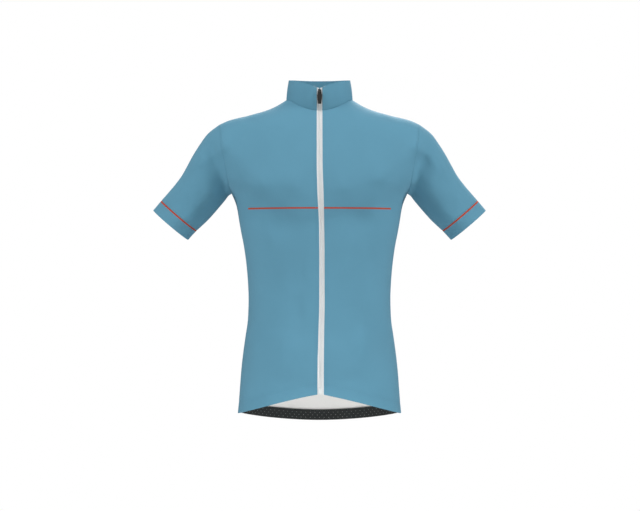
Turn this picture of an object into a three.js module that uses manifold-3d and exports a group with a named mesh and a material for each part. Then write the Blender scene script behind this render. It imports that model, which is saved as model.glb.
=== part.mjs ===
// A short-sleeved cycling jersey with a stand collar and a full-length front zip, in the hollow shape it has when worn.
// Millimetres. +Z is up and the front faces -Y. +X is the wearer's left. The origin is between the two points
// where the collar seam crosses the shoulders.
//
// The cloth follows one form, a trunk joined to two arms, each given by a short table of sections. Every panel is a
// grid between its own seams, settled on that form, with a wall of even thickness inside it.

import * as THREE from 'three';
import { mergeVertices } from 'three/addons/utils/BufferGeometryUtils.js';
import Module from 'manifold-3d';

const wasm = await Module();
wasm.setup();

// Driving dimensions
const clothWall = 1.5;
const collarWall = 2.0;
const seamGap = 0.3;
const pocketWall = 1.2;
const gripperWall = 1.2;
const tapeWall = 1.0;

// Trunk sections from under the hem to the neck. half is the half width, front and back are depths from the side line
// and square is the power of the rounded outline, 2 for an ellipse and more for a boxier one.
const trunkSections = [
  { z: -660, half: 155.5, front: 107, back: 122, square: 2.25 },
  { z: -620, half: 155.5, front: 107, back: 121, square: 2.25 },
  { z: -592, half: 154.9, front: 107, back: 119, square: 2.25 },
  { z: -561, half: 152, front: 106, back: 115, square: 2.25 },
  { z: -531, half: 150, front: 105, back: 110, square: 2.25 },
  { z: -501, half: 147.3, front: 104, back: 105, square: 2.25 },
  { z: -470, half: 143.5, front: 103, back: 99, square: 2.2 },
  { z: -440, half: 139.2, front: 102, back: 94, square: 2.2 },
  { z: -410, half: 135.4, front: 101, back: 91, square: 2.2 },
  { z: -375, half: 134.6, front: 101, back: 90, square: 2.2 },
  { z: -341, half: 136, front: 102.5, back: 92, square: 2.2 },
  { z: -311, half: 138.7, front: 105, back: 96, square: 2.25 },
  { z: -280, half: 142.8, front: 108, back: 100, square: 2.3 },
  { z: -250, half: 148.6, front: 111.5, back: 105, square: 2.35 },
  { z: -220, half: 153.8, front: 115.5, back: 109, square: 2.4 },
  { z: -197, half: 157.6, front: 118, back: 112, square: 2.45 },
  { z: -182, half: 162.4, front: 118.5, back: 113.5, square: 2.45 },
  { z: -172, half: 169, front: 118, back: 114, square: 2.45 },
  { z: -158, half: 181, front: 116.5, back: 114, square: 2.45 },
  { z: -142, half: 191, front: 114, back: 113, square: 2.45 },
  { z: -120, half: 196, front: 109, back: 110.5, square: 2.45 },
  { z: -98, half: 195, front: 102, back: 106, square: 2.4 },
  { z: -78, half: 192, front: 94, back: 100, square: 2.3 },
  { z: -60, half: 185, front: 85, back: 93, square: 2.2 },
  { z: -50, half: 178.5, front: 79, back: 88.5, square: 2.1 },
  { z: -43, half: 170.5, front: 74, back: 85, square: 2 },
  { z: -37, half: 159, front: 70, back: 81.5, square: 2 },
  { z: -30, half: 137, front: 65, back: 77, square: 2 },
  { z: -22, half: 108, front: 59.5, back: 72, square: 2 },
  { z: -14, half: 88, front: 54, back: 66.5, square: 2 },
  { z: -7, half: 75, front: 50, back: 61.5, square: 2 },
  { z: 0, half: 63.7, front: 46, back: 56, square: 2 },
  { z: 8, half: 57, front: 42, back: 49, square: 2 },
];

// Arm sections, by their distance up the arm from the cuff's edge. top is the outer side and under the inner one.
const armSections = [
  { up: -20, top: 43.4, under: 43, front: 46, back: 46 },
  { up: 0, top: 43.4, under: 43, front: 46, back: 46 },
  { up: 25, top: 43.5, under: 44, front: 47, back: 47.5 },
  { up: 50, top: 43.2, under: 47, front: 49, back: 50 },
  { up: 75, top: 43.6, under: 47.8, front: 51.5, back: 53 },
  { up: 100, top: 47.6, under: 47.6, front: 54, back: 56 },
  { up: 125, top: 53, under: 46, front: 56.5, back: 59 },
  { up: 150, top: 57, under: 44, front: 58, back: 61 },
  { up: 178, top: 59, under: 42, front: 58, back: 61 },
  { up: 200, top: 54.5, under: 40, front: 56, back: 58 },
  { up: 222, top: 40, under: 38, front: 50, back: 52 },
  { up: 250, top: 20, under: 30, front: 36, back: 38 },
];
const cuffCentre = new THREE.Vector3(282.6, 0, -237);
const armAxis = new THREE.Vector3(0.65, 0, -0.76).normalize();
const armTop = new THREE.Vector3(0.76, 0, 0.65).normalize();
const armFront = new THREE.Vector3().crossVectors(armAxis, armTop).normalize();
const armEnd = 225;
const cuffHeight = 25;

// The fillet between trunk and arm is tight under the arm and wide over the shoulder.
const fillet = { under: 8, over: 18, from: -160, to: -70 };

// Armhole: a flat loop from the underarm to the shoulder tip.
const underarm = new THREE.Vector3(168, 0, -172);
const shoulderTip = new THREE.Vector3(189, 0, -45);

// Neck seam in plan, and the collar's top edge in plan and in height. turn is 0 at the front, 1 at the side seam
// and 2 at the back.
const neckHalf = 63;
const neckFront = 62;
const neckBack = 58;
const collarBulge = 0.7;
const collarTop = { half: 58.3, front: 65, back: 50 };
const collarEdge = [
  { turn: 0, z: 16 },
  { turn: 0.12, z: 20 },
  { turn: 0.24, z: 24.4 },
  { turn: 0.52, z: 30.8 },
  { turn: 1, z: 38.3 },
  { turn: 1.5, z: 42.4 },
  { turn: 2, z: 43.2 },
];

// Hem heights, and how fast the hem falls from the zip and rises from the centre back.
const hem = { front: -548.8, side: -592.8, back: -621.6, fall: 1.35, rise: 1.4 };

// The front zip: its sideways bow, and the half width of what shows between the fronts.
const zipLine = [
  { z: -560, centre: 2.1, half: 5.7 },
  { z: -500, centre: 2.2, half: 5.6 },
  { z: -440, centre: 3.2, half: 5.1 },
  { z: -380, centre: 4.5, half: 4.8 },
  { z: -300, centre: 4.5, half: 4.6 },
  { z: -240, centre: 4.0, half: 4.6 },
  { z: -180, centre: 1.8, half: 5.4 },
  { z: -120, centre: 0.3, half: 5.2 },
  { z: -30, centre: 0.2, half: 5.1 },
  { z: 20, centre: 0.2, half: 5.1 },
];
const tapeUnderFront = 8;

// The slider stops just under the collar's top edge. The pull's axis is measured from the collar's face, y inwards.
const sliderShare = 0.85;
const pullAxis = { y: -1.35, z: 8.5 };
const slider = {
  top: 5.3, bottom: -4.7, half: 3.6, topHalf: 2.7, plate: 1.6, rearPlate: 1.2, clearance: 0.4,
  neckHalf: 0.7, neckBottom: 0.4, parting: 1.1, partingShare: 0.7,
};
const bridge = { inner: 1.4, outer: 2.3, half: 1.1 };
const pull = { top: 1.1, eyeHalf: 3, half: 4.6, endHalf: 3.2, length: 22.1, windowHalf: 1.6, windowLength: 3, bar: 0.7, wall: 1.6 };

// Grid counts: columns along the neck and shoulder seams, rows up the side seam and the armhole.
const neckColumns = 7;
const shoulderColumns = 7;
const sideRows = 17;
const armholeRows = 12;
const sleeveRows = 8;
const cuffRows = 2;
const collarRows = 5;
const evenings = 30;
const sleeveEvenings = 30;
const halfColumns = neckColumns + shoulderColumns;
const panelRows = sideRows + armholeRows;
const hemBand = 22;
const joinHeight = -184;

// Pockets, in columns from the side seam and rows from the hem of the back.
const pocket = { firstColumn: 5, columns: 6, count: 3, firstRow: 1, rows: 6, gape: 2.4 };

const colours = { cloth: 0x6296ab, tape: 0xd4d5d6, gripper: 0x2b2d2d, black: 0x1d1c1b };

// Smooth interpolation through the rows of a table, with no overshoot.
function smoothTable(rows, at, columns) {
  const xs = rows.map((row) => row[at]);
  const slopes = {};
  for (const name of columns) {
    const ys = rows.map((row) => row[name]);
    const step = xs.slice(1).map((x, i) => (ys[i + 1] - ys[i]) / (x - xs[i]));
    slopes[name] = xs.map((_, i) => {
      if (i === 0 || i === xs.length - 1) return 0;
      const [before, after] = [step[i - 1], step[i]];
      return before * after <= 0 ? 0 : (2 * before * after) / (before + after);
    });
  }
  return (x) => {
    const clamped = Math.min(Math.max(x, xs[0]), xs[xs.length - 1]);
    let i = 0;
    while (i < xs.length - 2 && clamped > xs[i + 1]) i++;
    const width = xs[i + 1] - xs[i];
    const t = (clamped - xs[i]) / width;
    const out = {};
    for (const name of columns) {
      const [a, b] = [rows[i][name], rows[i + 1][name]];
      const [da, db] = [slopes[name][i] * width, slopes[name][i + 1] * width];
      out[name] = a + t * (da + t * (3 * (b - a) - 2 * da - db + t * (2 * (a - b) + da + db)));
    }
    return out;
  };
}

const trunkAt = smoothTable(trunkSections, 'z', ['half', 'front', 'back', 'square']);
const armAt = smoothTable(armSections, 'up', ['top', 'under', 'front', 'back']);
const zipAt = smoothTable(zipLine, 'z', ['centre', 'half']);
const collarEdgeAt = smoothTable(collarEdge, 'turn', ['z']);

// Distance outside a rounded section, measured from its middle.
function outsideSection(a, b, halfA, halfB, power) {
  const reach = Math.max(Math.hypot(a, b), 1e-6);
  const share = Math.pow(Math.pow(Math.abs(a) / halfA, power) + Math.pow(Math.abs(b) / halfB, power), 1 / power);
  return reach - reach / Math.max(share, 1e-9);
}

function trunkField(p) {
  const s = trunkAt(p.z);
  return outsideSection(p.x, p.y, s.half, p.y < 0 ? s.front : s.back, s.square);
}

function armField(p) {
  const from = p.clone().sub(cuffCentre);
  const s = armAt(-from.dot(armAxis));
  const top = from.dot(armTop);
  const front = from.dot(armFront);
  const beyond = Math.max(-from.dot(armAxis) - armEnd, 0);
  return outsideSection(top, front, top > 0 ? s.top : s.under, front > 0 ? s.front : s.back, 2) + beyond;
}

function gradient(field, p) {
  const h = 0.05;
  const out = new THREE.Vector3();
  for (const axis of ['x', 'y', 'z']) {
    const [ahead, behind] = [p.clone(), p.clone()];
    ahead[axis] += h;
    behind[axis] -= h;
    out[axis] = (field(ahead) - field(behind)) / (2 * h);
  }
  return out;
}

// The form of the whole garment: below 0 inside, about the distance outside. Only the side x > 0 is described.
function form(p) {
  const trunk = trunkField(p) / gradient(trunkField, p).length();
  const arm = armField(p) / gradient(armField, p).length();
  const k = THREE.MathUtils.lerp(fillet.under, fillet.over, THREE.MathUtils.smoothstep(p.z, fillet.from, fillet.to));
  const near = Math.max(k - Math.abs(trunk - arm), 0) / k;
  return Math.min(trunk, arm) - (near * near * k) / 4;
}

function settle(guess, steps) {
  const p = guess.clone();
  for (let i = 0; i < steps; i++) {
    const g = gradient(form, p);
    const step = THREE.MathUtils.clamp(-form(p) / g.length(), -6, 6);
    p.addScaledVector(g.normalize(), step);
  }
  return p;
}

// The first point of the form along a ray that starts inside it.
function firstOut(origin, direction) {
  const at = (r) => origin.clone().addScaledVector(direction, r);
  const step = 3;
  let far = step;
  while (form(at(far)) < 0) far += step;
  let near = far - step;
  for (let i = 0; i < 30; i++) {
    const middle = (near + far) / 2;
    if (form(at(middle)) < 0) near = middle;
    else far = middle;
  }
  return at(far);
}

const outward = (p) => gradient(form, p).normalize();

// A seam point carries its place and the direction out of the cloth there.
const onForm = (p) => ({ p, n: outward(p) });

const range = (count) => Array.from({ length: count + 1 }, (_, i) => i);
const mix = (a, b, t) => a.clone().lerp(b, t);

// Armhole loop: turn 0 is the shoulder tip, and it runs forward to the underarm at half a turn.
const armholeMiddle = mix(underarm, shoulderTip, 0.5);
const armholeUp = shoulderTip.clone().sub(underarm).normalize();
const forward = new THREE.Vector3(0, -1, 0);

function loopPoint(middle, up, front, turn) {
  const angle = turn * 2 * Math.PI;
  const direction = up.clone().multiplyScalar(Math.cos(angle)).addScaledVector(front, Math.sin(angle)).normalize();
  return firstOut(middle, direction);
}

const armholePoint = (turn) => loopPoint(armholeMiddle, armholeUp, forward, turn);
const underarmPoint = armholePoint(0.5);
const tipPoint = armholePoint(0);

function hemHeight(turn) {
  // turn runs from 0 at the centre front through 1 at the side seam to 2 at the centre back
  const angle = (turn * Math.PI) / 2;
  if (turn <= 1) return hem.side + (hem.front - hem.side) * (1 - Math.pow(Math.sin(angle), hem.fall));
  return hem.side + (hem.back - hem.side) * Math.pow(Math.max(-Math.cos(angle), 0), hem.rise);
}

function hemPoint(turn) {
  const angle = (turn * Math.PI) / 2;
  const z = hemHeight(turn);
  const s = trunkAt(z);
  const depth = turn <= 1 ? s.front : s.back;
  const direction = new THREE.Vector3(s.half * Math.sin(angle), -depth * Math.cos(angle), 0).normalize();
  return firstOut(new THREE.Vector3(0, 0, z), direction);
}

// The form seen from above: the highest point of the cloth over a place in plan.
const overPlan = (x, y) => firstOut(new THREE.Vector3(x, y, -100), new THREE.Vector3(0, 0, 1));

function neckPlan(turn) {
  const angle = (turn * Math.PI) / 2;
  return [neckHalf * Math.sin(angle), -Math.cos(angle) * (turn <= 1 ? neckFront : neckBack)];
}

const neckPoint = (turn) => overPlan(...neckPlan(turn));
const sidePoint = (z) => settle(new THREE.Vector3(trunkAt(z).half, 0, z), 8);

function centreHeights(bottom, top) {
  return range(panelRows).map((row) => {
    if (row <= sideRows) return THREE.MathUtils.lerp(bottom, joinHeight, row / sideRows);
    return THREE.MathUtils.lerp(joinHeight, top, (row - sideRows) / armholeRows);
  });
}

// Moves each inner point of a grid to the middle of its neighbours, and back onto the form.
function evened(grid, ring = false) {
  return grid.map((row, j) => row.map((p, i) => {
    if (j === 0 || j === grid.length - 1) return p;
    if (!ring && (i === 0 || i === row.length - 1)) return p;
    const before = row[(i + row.length - 1) % row.length];
    const after = row[(i + 1) % row.length];
    const sum = before.clone().add(after).add(grid[j - 1][i]).add(grid[j + 1][i]);
    return settle(sum.multiplyScalar(0.25), 2);
  }));
}

// Half a panel: a grid between its centre line, its side seam and armhole, its hem, and its neck and shoulder seams.
function halfPanel(centre, isFront, zipOffset) {
  const start = isFront ? Math.asin(zipOffset / neckHalf) / (Math.PI / 2) : 0;
  const neckTurns = range(neckColumns).map((i) => THREE.MathUtils.lerp(start, 1, i / neckColumns));
  const neck = neckTurns.map((turn) => neckPoint(isFront ? turn : 2 - turn));
  const shoulder = range(shoulderColumns).slice(1).map((i) => {
    const x = THREE.MathUtils.lerp(neck[neckColumns].x, tipPoint.x, i / shoulderColumns);
    return i === shoulderColumns ? tipPoint : overPlan(x, 0);
  });
  const top = [...neck, ...shoulder];

  const side = range(sideRows).map((row) => {
    if (row === sideRows) return underarmPoint;
    return sidePoint(THREE.MathUtils.lerp(hem.side, underarmPoint.z, row / sideRows));
  });
  const armhole = range(armholeRows).slice(1).map((row) => {
    const turn = 0.5 * (1 - row / armholeRows);
    return armholePoint(isFront ? turn : -turn);
  });
  const outer = [...side, ...armhole];

  const hemStart = isFront ? Math.asin(zipAt(hem.front).half / trunkAt(hem.front).half) / (Math.PI / 2) : 0;
  const bottom = range(halfColumns).map((i) => {
    const turn = THREE.MathUtils.lerp(hemStart, 1, i / halfColumns);
    return hemPoint(isFront ? turn : 2 - turn);
  });
  bottom[0] = centre[0];
  bottom[halfColumns] = outer[0];
  top[0] = centre[panelRows];

  let grid = range(panelRows).map((row) => range(halfColumns).map((column) => {
    const [u, v] = [column / halfColumns, row / panelRows];
    if (column === 0) return centre[row];
    if (column === halfColumns) return outer[row];
    if (row === 0) return bottom[column];
    if (row === panelRows) return top[column];
    const across = mix(centre[row], outer[row], u);
    const along = mix(bottom[column], top[column], v);
    const corners = mix(mix(centre[0], outer[0], u), mix(centre[panelRows], outer[panelRows], u), v);
    return settle(across.add(along).sub(corners), 16);
  }));
  for (let round = 0; round < evenings; round++) grid = evened(grid);
  return grid.map((row) => row.map(onForm));
}

// The fronts' edges along the zip. hand is 1 on the wearer's left and -1 on the right, where x is mirrored.
const zipEdgeAt = (z, hand) => hand * zipAt(z).centre + zipAt(z).half;

function zipEdge(hand) {
  return centreHeights(hem.front, neckPoint(0).z).map((z) => {
    return firstOut(new THREE.Vector3(zipEdgeAt(z, hand), 0, z), forward);
  });
}

function centreBack() {
  const backward = new THREE.Vector3(0, 1, 0);
  return centreHeights(hem.back, neckPoint(2).z).map((z) => firstOut(new THREE.Vector3(0, 0, z), backward));
}

const mirrored = (v) => new THREE.Vector3(-v.x, v.y, v.z);
const mirrorGrid = (grid) => grid.map((row) => row.map(({ p, n }) => ({ p: mirrored(p), n: mirrored(n) })));

// Moves the grid's edges in, along the cloth and square to the seam: by half the seam gap, unless told otherwise.
function partedAtSeams(grid, ring = false, inset = seamGap / 2 + 0.02) {
  const rows = grid.length;
  const columns = grid[0].length;
  const at = (j, i) => {
    const column = ring ? (i + columns) % columns : THREE.MathUtils.clamp(i, 0, columns - 1);
    return grid[THREE.MathUtils.clamp(j, 0, rows - 1)][column].p;
  };
  const inwards = (from, to, before, after) => {
    const along = after.clone().sub(before).normalize();
    const step = to.clone().sub(from);
    return step.addScaledVector(along, -step.dot(along)).setLength(inset);
  };
  return grid.map((row, j) => row.map(({ p, n }, i) => {
    const moved = p.clone();
    if (j === 0) moved.add(inwards(p, at(1, i), at(0, i - 1), at(0, i + 1)));
    if (j === rows - 1) moved.add(inwards(p, at(rows - 2, i), at(j, i - 1), at(j, i + 1)));
    if (!ring && i === 0) moved.add(inwards(p, at(j, 1), at(j - 1, 0), at(j + 1, 0)));
    if (!ring && i === columns - 1) moved.add(inwards(p, at(j, i - 1), at(j - 1, i), at(j + 1, i)));
    return { p: moved, n };
  }));
}

// A closed wall between two offsets of a grid, measured outwards along the cloth's normals. A ring joins its last
// column to its first.
function wallBetween(grid, outerOffset, innerOffset, ring = false) {
  const rows = grid.length;
  const columns = grid[0].length;
  const positions = [];
  for (const offset of [outerOffset, innerOffset]) {
    grid.forEach((row, j) => row.forEach(({ p, n }, i) => {
      const out = typeof offset === 'function' ? offset(j, i) : offset;
      positions.push(...p.clone().addScaledVector(n, out).toArray());
    }));
  }
  const id = (layer, j, i) => layer * rows * columns + j * columns + (i % columns);
  const triangles = [];
  const quad = (a, b, c, d) => triangles.push(a, b, c, a, c, d);
  const spans = ring ? columns : columns - 1;
  for (let j = 0; j < rows - 1; j++) {
    for (let i = 0; i < spans; i++) {
      quad(id(0, j, i), id(0, j, i + 1), id(0, j + 1, i + 1), id(0, j + 1, i));
      quad(id(1, j, i), id(1, j + 1, i), id(1, j + 1, i + 1), id(1, j, i + 1));
    }
  }
  for (let i = 0; i < spans; i++) {
    quad(id(0, 0, i), id(1, 0, i), id(1, 0, i + 1), id(0, 0, i + 1));
    quad(id(0, rows - 1, i), id(0, rows - 1, i + 1), id(1, rows - 1, i + 1), id(1, rows - 1, i));
  }
  for (let j = 0; j < rows - 1 && !ring; j++) {
    quad(id(0, j, 0), id(0, j + 1, 0), id(1, j + 1, 0), id(1, j, 0));
    quad(id(0, j, columns - 1), id(1, j, columns - 1), id(1, j + 1, columns - 1), id(0, j + 1, columns - 1));
  }
  return facingOut(positions, triangles);
}

// A geometry from points and triangles, turned round if its faces point inwards.
function facingOut(positions, triangles) {
  const [a, b, c] = [new THREE.Vector3(), new THREE.Vector3(), new THREE.Vector3()];
  let volume = 0;
  for (let i = 0; i < triangles.length; i += 3) {
    a.fromArray(positions, triangles[i] * 3);
    b.fromArray(positions, triangles[i + 1] * 3);
    c.fromArray(positions, triangles[i + 2] * 3);
    volume += a.dot(b.cross(c));
  }
  const faces = volume < 0 ? triangles.slice().reverse() : triangles;
  return new THREE.BufferGeometry()
    .setAttribute('position', new THREE.Float32BufferAttribute(positions, 3))
    .setIndex(faces);
}

const jersey = new THREE.Group();

function addPiece(name, geometry, colour, roughness = 0.85) {
  const material = new THREE.MeshStandardMaterial({ color: colour, roughness, metalness: 0 });
  const mesh = new THREE.Mesh(geometry, material);
  mesh.name = name;
  jersey.add(mesh);
}

// Fronts
const frontHalves = {};
for (const [name, hand] of [['left', 1], ['right', -1]]) {
  frontHalves[hand] = halfPanel(zipEdge(hand), true, zipEdgeAt(0, hand));
  const grid = hand > 0 ? frontHalves[hand] : mirrorGrid(frontHalves[hand]);
  addPiece(`front_${name}`, wallBetween(partedAtSeams(grid), 0, -clothWall), colours.cloth);
}

// Back, in one piece from side seam to side seam
const backHalf = halfPanel(centreBack(), false, 0);
const backGrid = backHalf.map((row, j) => [...mirrorGrid(backHalf)[j].slice(1).reverse(), ...row]);
addPiece('back', wallBetween(partedAtSeams(backGrid), 0, -clothWall), colours.cloth);

// Sleeves and cuffs
const frontTurns = range(armholeRows).map((row) => 0.5 * (1 - row / armholeRows));
const sleeveTurns = [...frontTurns, ...frontTurns.slice(1, -1).reverse().map((turn) => -turn)];

// A loop of the sleeve: share runs from the armhole to the cuff seam, and cuffShare from there to the cuff's edge.
function armLoop(share, cuffShare) {
  const seamMiddle = cuffCentre.clone().addScaledVector(armAxis, -cuffHeight);
  const middle = mix(mix(armholeMiddle, seamMiddle, share), cuffCentre, cuffShare);
  const up = mix(armholeUp, armTop, share).normalize();
  return sleeveTurns.map((turn) => loopPoint(middle, up, forward, turn));
}

let sleevePoints = range(sleeveRows).map((row) => armLoop(row / sleeveRows, 0));
for (let round = 0; round < sleeveEvenings; round++) sleevePoints = evened(sleevePoints, true);
const sleeveGrid = sleevePoints.map((row) => row.map(onForm));
const cuffGrid = range(cuffRows).map((row) => armLoop(1, row / cuffRows).map(onForm));
for (const [name, turned] of [['left', (grid) => grid], ['right', mirrorGrid]]) {
  addPiece(`sleeve_${name}`, wallBetween(partedAtSeams(turned(sleeveGrid), true), 0, -clothWall, true), colours.cloth);
  addPiece(`cuff_${name}`, wallBetween(partedAtSeams(turned(cuffGrid), true), 0, -clothWall, true), colours.cloth);
}

// Collar: share runs from its seam to its top edge, and turn from 0 at the front to 2 at the back.
function collarPoint(turn, share) {
  const angle = (turn * Math.PI) / 2;
  const depth = turn <= 1 ? collarTop.front : collarTop.back;
  const edge = collarEdgeAt(turn).z;
  const top = new THREE.Vector3(collarTop.half * Math.sin(angle), -Math.cos(angle) * depth, edge);
  const seam = neckPoint(turn);
  const p = mix(seam, top, share);
  const up = top.sub(seam).normalize();
  const out = new THREE.Vector3(p.x / collarTop.half ** 2, p.y / depth ** 2, 0).normalize();
  const n = out.addScaledVector(up, -out.dot(up)).normalize();
  return { p: p.addScaledVector(n, collarBulge * Math.sin(share * Math.PI)), n };
}

// The turn at which the collar is a given distance from the middle, near the front
function collarTurn(x, share) {
  return Math.asin(x / THREE.MathUtils.lerp(neckHalf, collarTop.half, share)) / (Math.PI / 2);
}

function collarHalf(hand) {
  const edge = zipEdgeAt(0, hand);
  return range(collarRows).map((row) => {
    const share = row / collarRows;
    const start = collarTurn(edge, share);
    const frontColumns = range(neckColumns).map((i) => THREE.MathUtils.lerp(start, 1, i / neckColumns));
    const backColumns = range(neckColumns).slice(1).map((i) => 1 + i / neckColumns);
    return [...frontColumns, ...backColumns].map((turn) => collarPoint(turn, share));
  });
}

const collarRight = mirrorGrid(collarHalf(-1));
const collarGrid = collarHalf(1).map((row, j) => [...collarRight[j].slice(0, -1), ...row.slice().reverse()]);
addPiece('collar', wallBetween(partedAtSeams(collarGrid), 0, -collarWall), colours.cloth);

// Zip tapes: each runs from the teeth to a little way under its front and its end of the collar.
function tapeGrid(hand) {
  const across = (row, middle) => {
    const share = tapeUnderFront / row[0].p.distanceTo(row[1].p);
    return [middle, row[0], { p: mix(row[0].p, row[1].p, share), n: mix(row[0].n, row[1].n, share).normalize() }];
  };
  const front = frontHalves[hand].map((row) => {
    const { z } = row[0].p;
    const x = hand * zipAt(z).centre + seamGap / 2;
    return across(row, onForm(firstOut(new THREE.Vector3(x, 0, z), forward)));
  });
  const neck = collarHalf(hand).map((row, j) => {
    const share = j / collarRows;
    const x = hand * zipAt(0).centre + (share < slider.partingShare ? seamGap / 2 : slider.parting);
    return across(row, collarPoint(collarTurn(x, share), share));
  });
  // Where the collar meets the front, the tape bends between their two directions.
  const bend = front[panelRows].map(({ p, n }, i) => {
    const between = n.clone().add(neck[0][i].n);
    return { p, n: between.multiplyScalar(2 / between.lengthSq()) };
  });
  return [...front.slice(0, -1), bend, ...neck.slice(1)];
}

const tapeFace = (row) => -(row < panelRows ? clothWall : collarWall) - seamGap;
for (const [name, hand] of [['left', 1], ['right', -1]]) {
  const grid = hand > 0 ? tapeGrid(hand) : mirrorGrid(tapeGrid(hand));
  const tape = wallBetween(partedAtSeams(grid, false, 0.02), tapeFace, (row) => tapeFace(row) - tapeWall);
  addPiece(`zip_tape_${name}`, tape, colours.tape);
}

// Hem gripper: a band inside the back's hem.
const gripperGrid = [0, 0.5, 1].map((height) => backGrid[0].map(({ p, n }, i) => {
  const above = backGrid[1][i];
  const share = (height * hemBand) / p.distanceTo(above.p);
  return { p: mix(p, above.p, share), n: mix(n, above.n, share).normalize() };
}));
const gripperDepth = clothWall + seamGap;
addPiece(
  'hem_gripper',
  wallBetween(partedAtSeams(gripperGrid, false, 0.6), -gripperDepth, -gripperDepth - gripperWall),
  colours.gripper,
);

// Pocket panel: one piece over the lower back, sewn down between its pockets and easing out at each mouth.
const pocketGrid = backGrid
  .slice(pocket.firstRow, pocket.firstRow + pocket.rows + 1)
  .map((row) => row.slice(pocket.firstColumn, pocket.firstColumn + pocket.count * pocket.columns + 1));
function pocketFace(wall) {
  return (row, column) => {
    const across = Math.abs(Math.sin((column * Math.PI) / pocket.columns));
    return seamGap + wall + pocket.gape * across * Math.pow(row / pocket.rows, 2);
  };
}
addPiece('pocket_panel', wallBetween(pocketGrid, pocketFace(pocketWall), pocketFace(0)), colours.cloth);

// Zip slider and pull, drawn in a frame on the face of the collar: x across, y in through it and z up.
const zipFace = collarPoint(0, sliderShare);
const zipFrame = new THREE.Group();
zipFrame.position.set(zipAt(0).centre, zipFace.p.y, pullAxis.z);
jersey.add(zipFrame);

// A plate cut to an outline in x and z, between two depths into the cloth.
function plate(outline, from, to, bevel) {
  const geometry = new THREE.ExtrudeGeometry(outline, {
    depth: to - from - 2 * bevel,
    bevelEnabled: bevel > 0,
    bevelThickness: bevel,
    bevelSize: bevel,
    bevelOffset: -bevel,
    bevelSegments: 2,
    curveSegments: 10,
  });
  return geometry.rotateX(Math.PI / 2).translate(0, to - bevel, 0);
}

function mirroredOutline(draw) {
  const half = new THREE.Path();
  draw(half);
  const points = half.getPoints(8);
  const inner = (point) => Math.abs(point.x) > 1e-6;
  return new THREE.Shape([...points, ...points.filter(inner).reverse().map(({ x, y }) => new THREE.Vector2(-x, y))]);
}

function solid(geometry) {
  const bare = geometry.clone();
  bare.deleteAttribute('normal');
  bare.deleteAttribute('uv');
  const merged = mergeVertices(bare, 1e-4);
  const vertProperties = new Float32Array(merged.attributes.position.array);
  return new wasm.Manifold(new wasm.Mesh({ numProp: 3, vertProperties, triVerts: new Uint32Array(merged.index.array) }));
}

function geometryOf(manifold) {
  const { vertProperties, triVerts } = manifold.getMesh();
  return new THREE.BufferGeometry()
    .setAttribute('position', new THREE.BufferAttribute(vertProperties, 3))
    .setIndex(new THREE.BufferAttribute(triVerts, 1));
}

function zipSlider() {
  const outline = mirroredOutline((path) => {
    path.moveTo(0, slider.top);
    path.lineTo(slider.topHalf - 1, slider.top);
    path.quadraticCurveTo(slider.topHalf, slider.top, slider.topHalf, slider.top - 1);
    path.lineTo(slider.half, slider.bottom + 3);
    path.quadraticCurveTo(slider.half, slider.bottom, slider.half - 2, slider.bottom);
    path.lineTo(0, slider.bottom);
  });
  const neckOutline = new THREE.Shape([
    new THREE.Vector2(-slider.neckHalf, slider.neckBottom),
    new THREE.Vector2(slider.neckHalf, slider.neckBottom),
    new THREE.Vector2(slider.neckHalf, slider.top - 0.5),
    new THREE.Vector2(-slider.neckHalf, slider.top - 0.5),
  ]);
  const tapeFront = collarWall + seamGap;
  const plateBack = tapeFront - slider.clearance;
  const rearFront = tapeFront + tapeWall + slider.clearance;
  const ring = new THREE.Shape().absarc(0, 0, bridge.outer, 0, 2 * Math.PI, false);
  ring.holes.push(new THREE.Path().absarc(0, 0, bridge.inner, 0, 2 * Math.PI, true));
  const bridgeRing = new THREE.ExtrudeGeometry(ring, { depth: 2 * bridge.half, bevelEnabled: false, curveSegments: 10 })
    .translate(0, 0, -bridge.half)
    .rotateY(Math.PI / 2)
    .translate(0, pullAxis.y, 0);
  return geometryOf(
    solid(plate(outline, plateBack - slider.plate, plateBack, 0.3))
      .add(solid(plate(outline, rearFront, rearFront + slider.rearPlate, 0.3)))
      .add(solid(plate(neckOutline, plateBack - slider.plate / 2, rearFront + slider.rearPlate / 2, 0)))
      .add(solid(bridgeRing)),
  );
}

function zipPull() {
  const outline = mirroredOutline((path) => {
    path.moveTo(0, pull.top);
    path.lineTo(pull.eyeHalf - 0.8, pull.top);
    path.quadraticCurveTo(pull.eyeHalf, pull.top, pull.eyeHalf, pull.top - 0.8);
    path.bezierCurveTo(pull.eyeHalf, -3, pull.half, -3, pull.half, -7);
    path.bezierCurveTo(pull.half, -13, pull.endHalf, -17, pull.endHalf, 1.5 - pull.length);
    path.quadraticCurveTo(pull.endHalf, -pull.length, pull.endHalf - 1.5, -pull.length);
    path.lineTo(0, -pull.length);
  });
  outline.holes.push(new THREE.Path([
    new THREE.Vector2(-pull.windowHalf, -pull.bar),
    new THREE.Vector2(-pull.windowHalf, -pull.windowLength),
    new THREE.Vector2(pull.windowHalf, -pull.windowLength),
    new THREE.Vector2(pull.windowHalf, -pull.bar),
  ]));
  return plate(outline, pullAxis.y - pull.wall / 2, pullAxis.y + pull.wall / 2, 0);
}

function addHardPiece(name, geometry) {
  const material = new THREE.MeshStandardMaterial({ color: colours.black, roughness: 0.4, metalness: 0 });
  const mesh = new THREE.Mesh(geometry, material);
  mesh.name = name;
  zipFrame.add(mesh);
}

addHardPiece('zip_slider', zipSlider());
addHardPiece('zip_pull', zipPull());

export default jersey;
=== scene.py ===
"""Short-sleeved cycling jersey: its CAD solids dressed in knitted cloth, seams, stitching and a coil zip.

Every cloth piece is a thin shell on the outer skin of its solid. The rows and columns that the solid's
skin was built on are found again in its mesh, and finer rows and columns are drawn smoothly through them.
"""

import functools
import math

import bmesh
import bpy
import numpy as np
from bpy.props import FloatProperty, FloatVectorProperty, IntProperty, PointerProperty
from mathutils import Matrix, Vector


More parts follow.
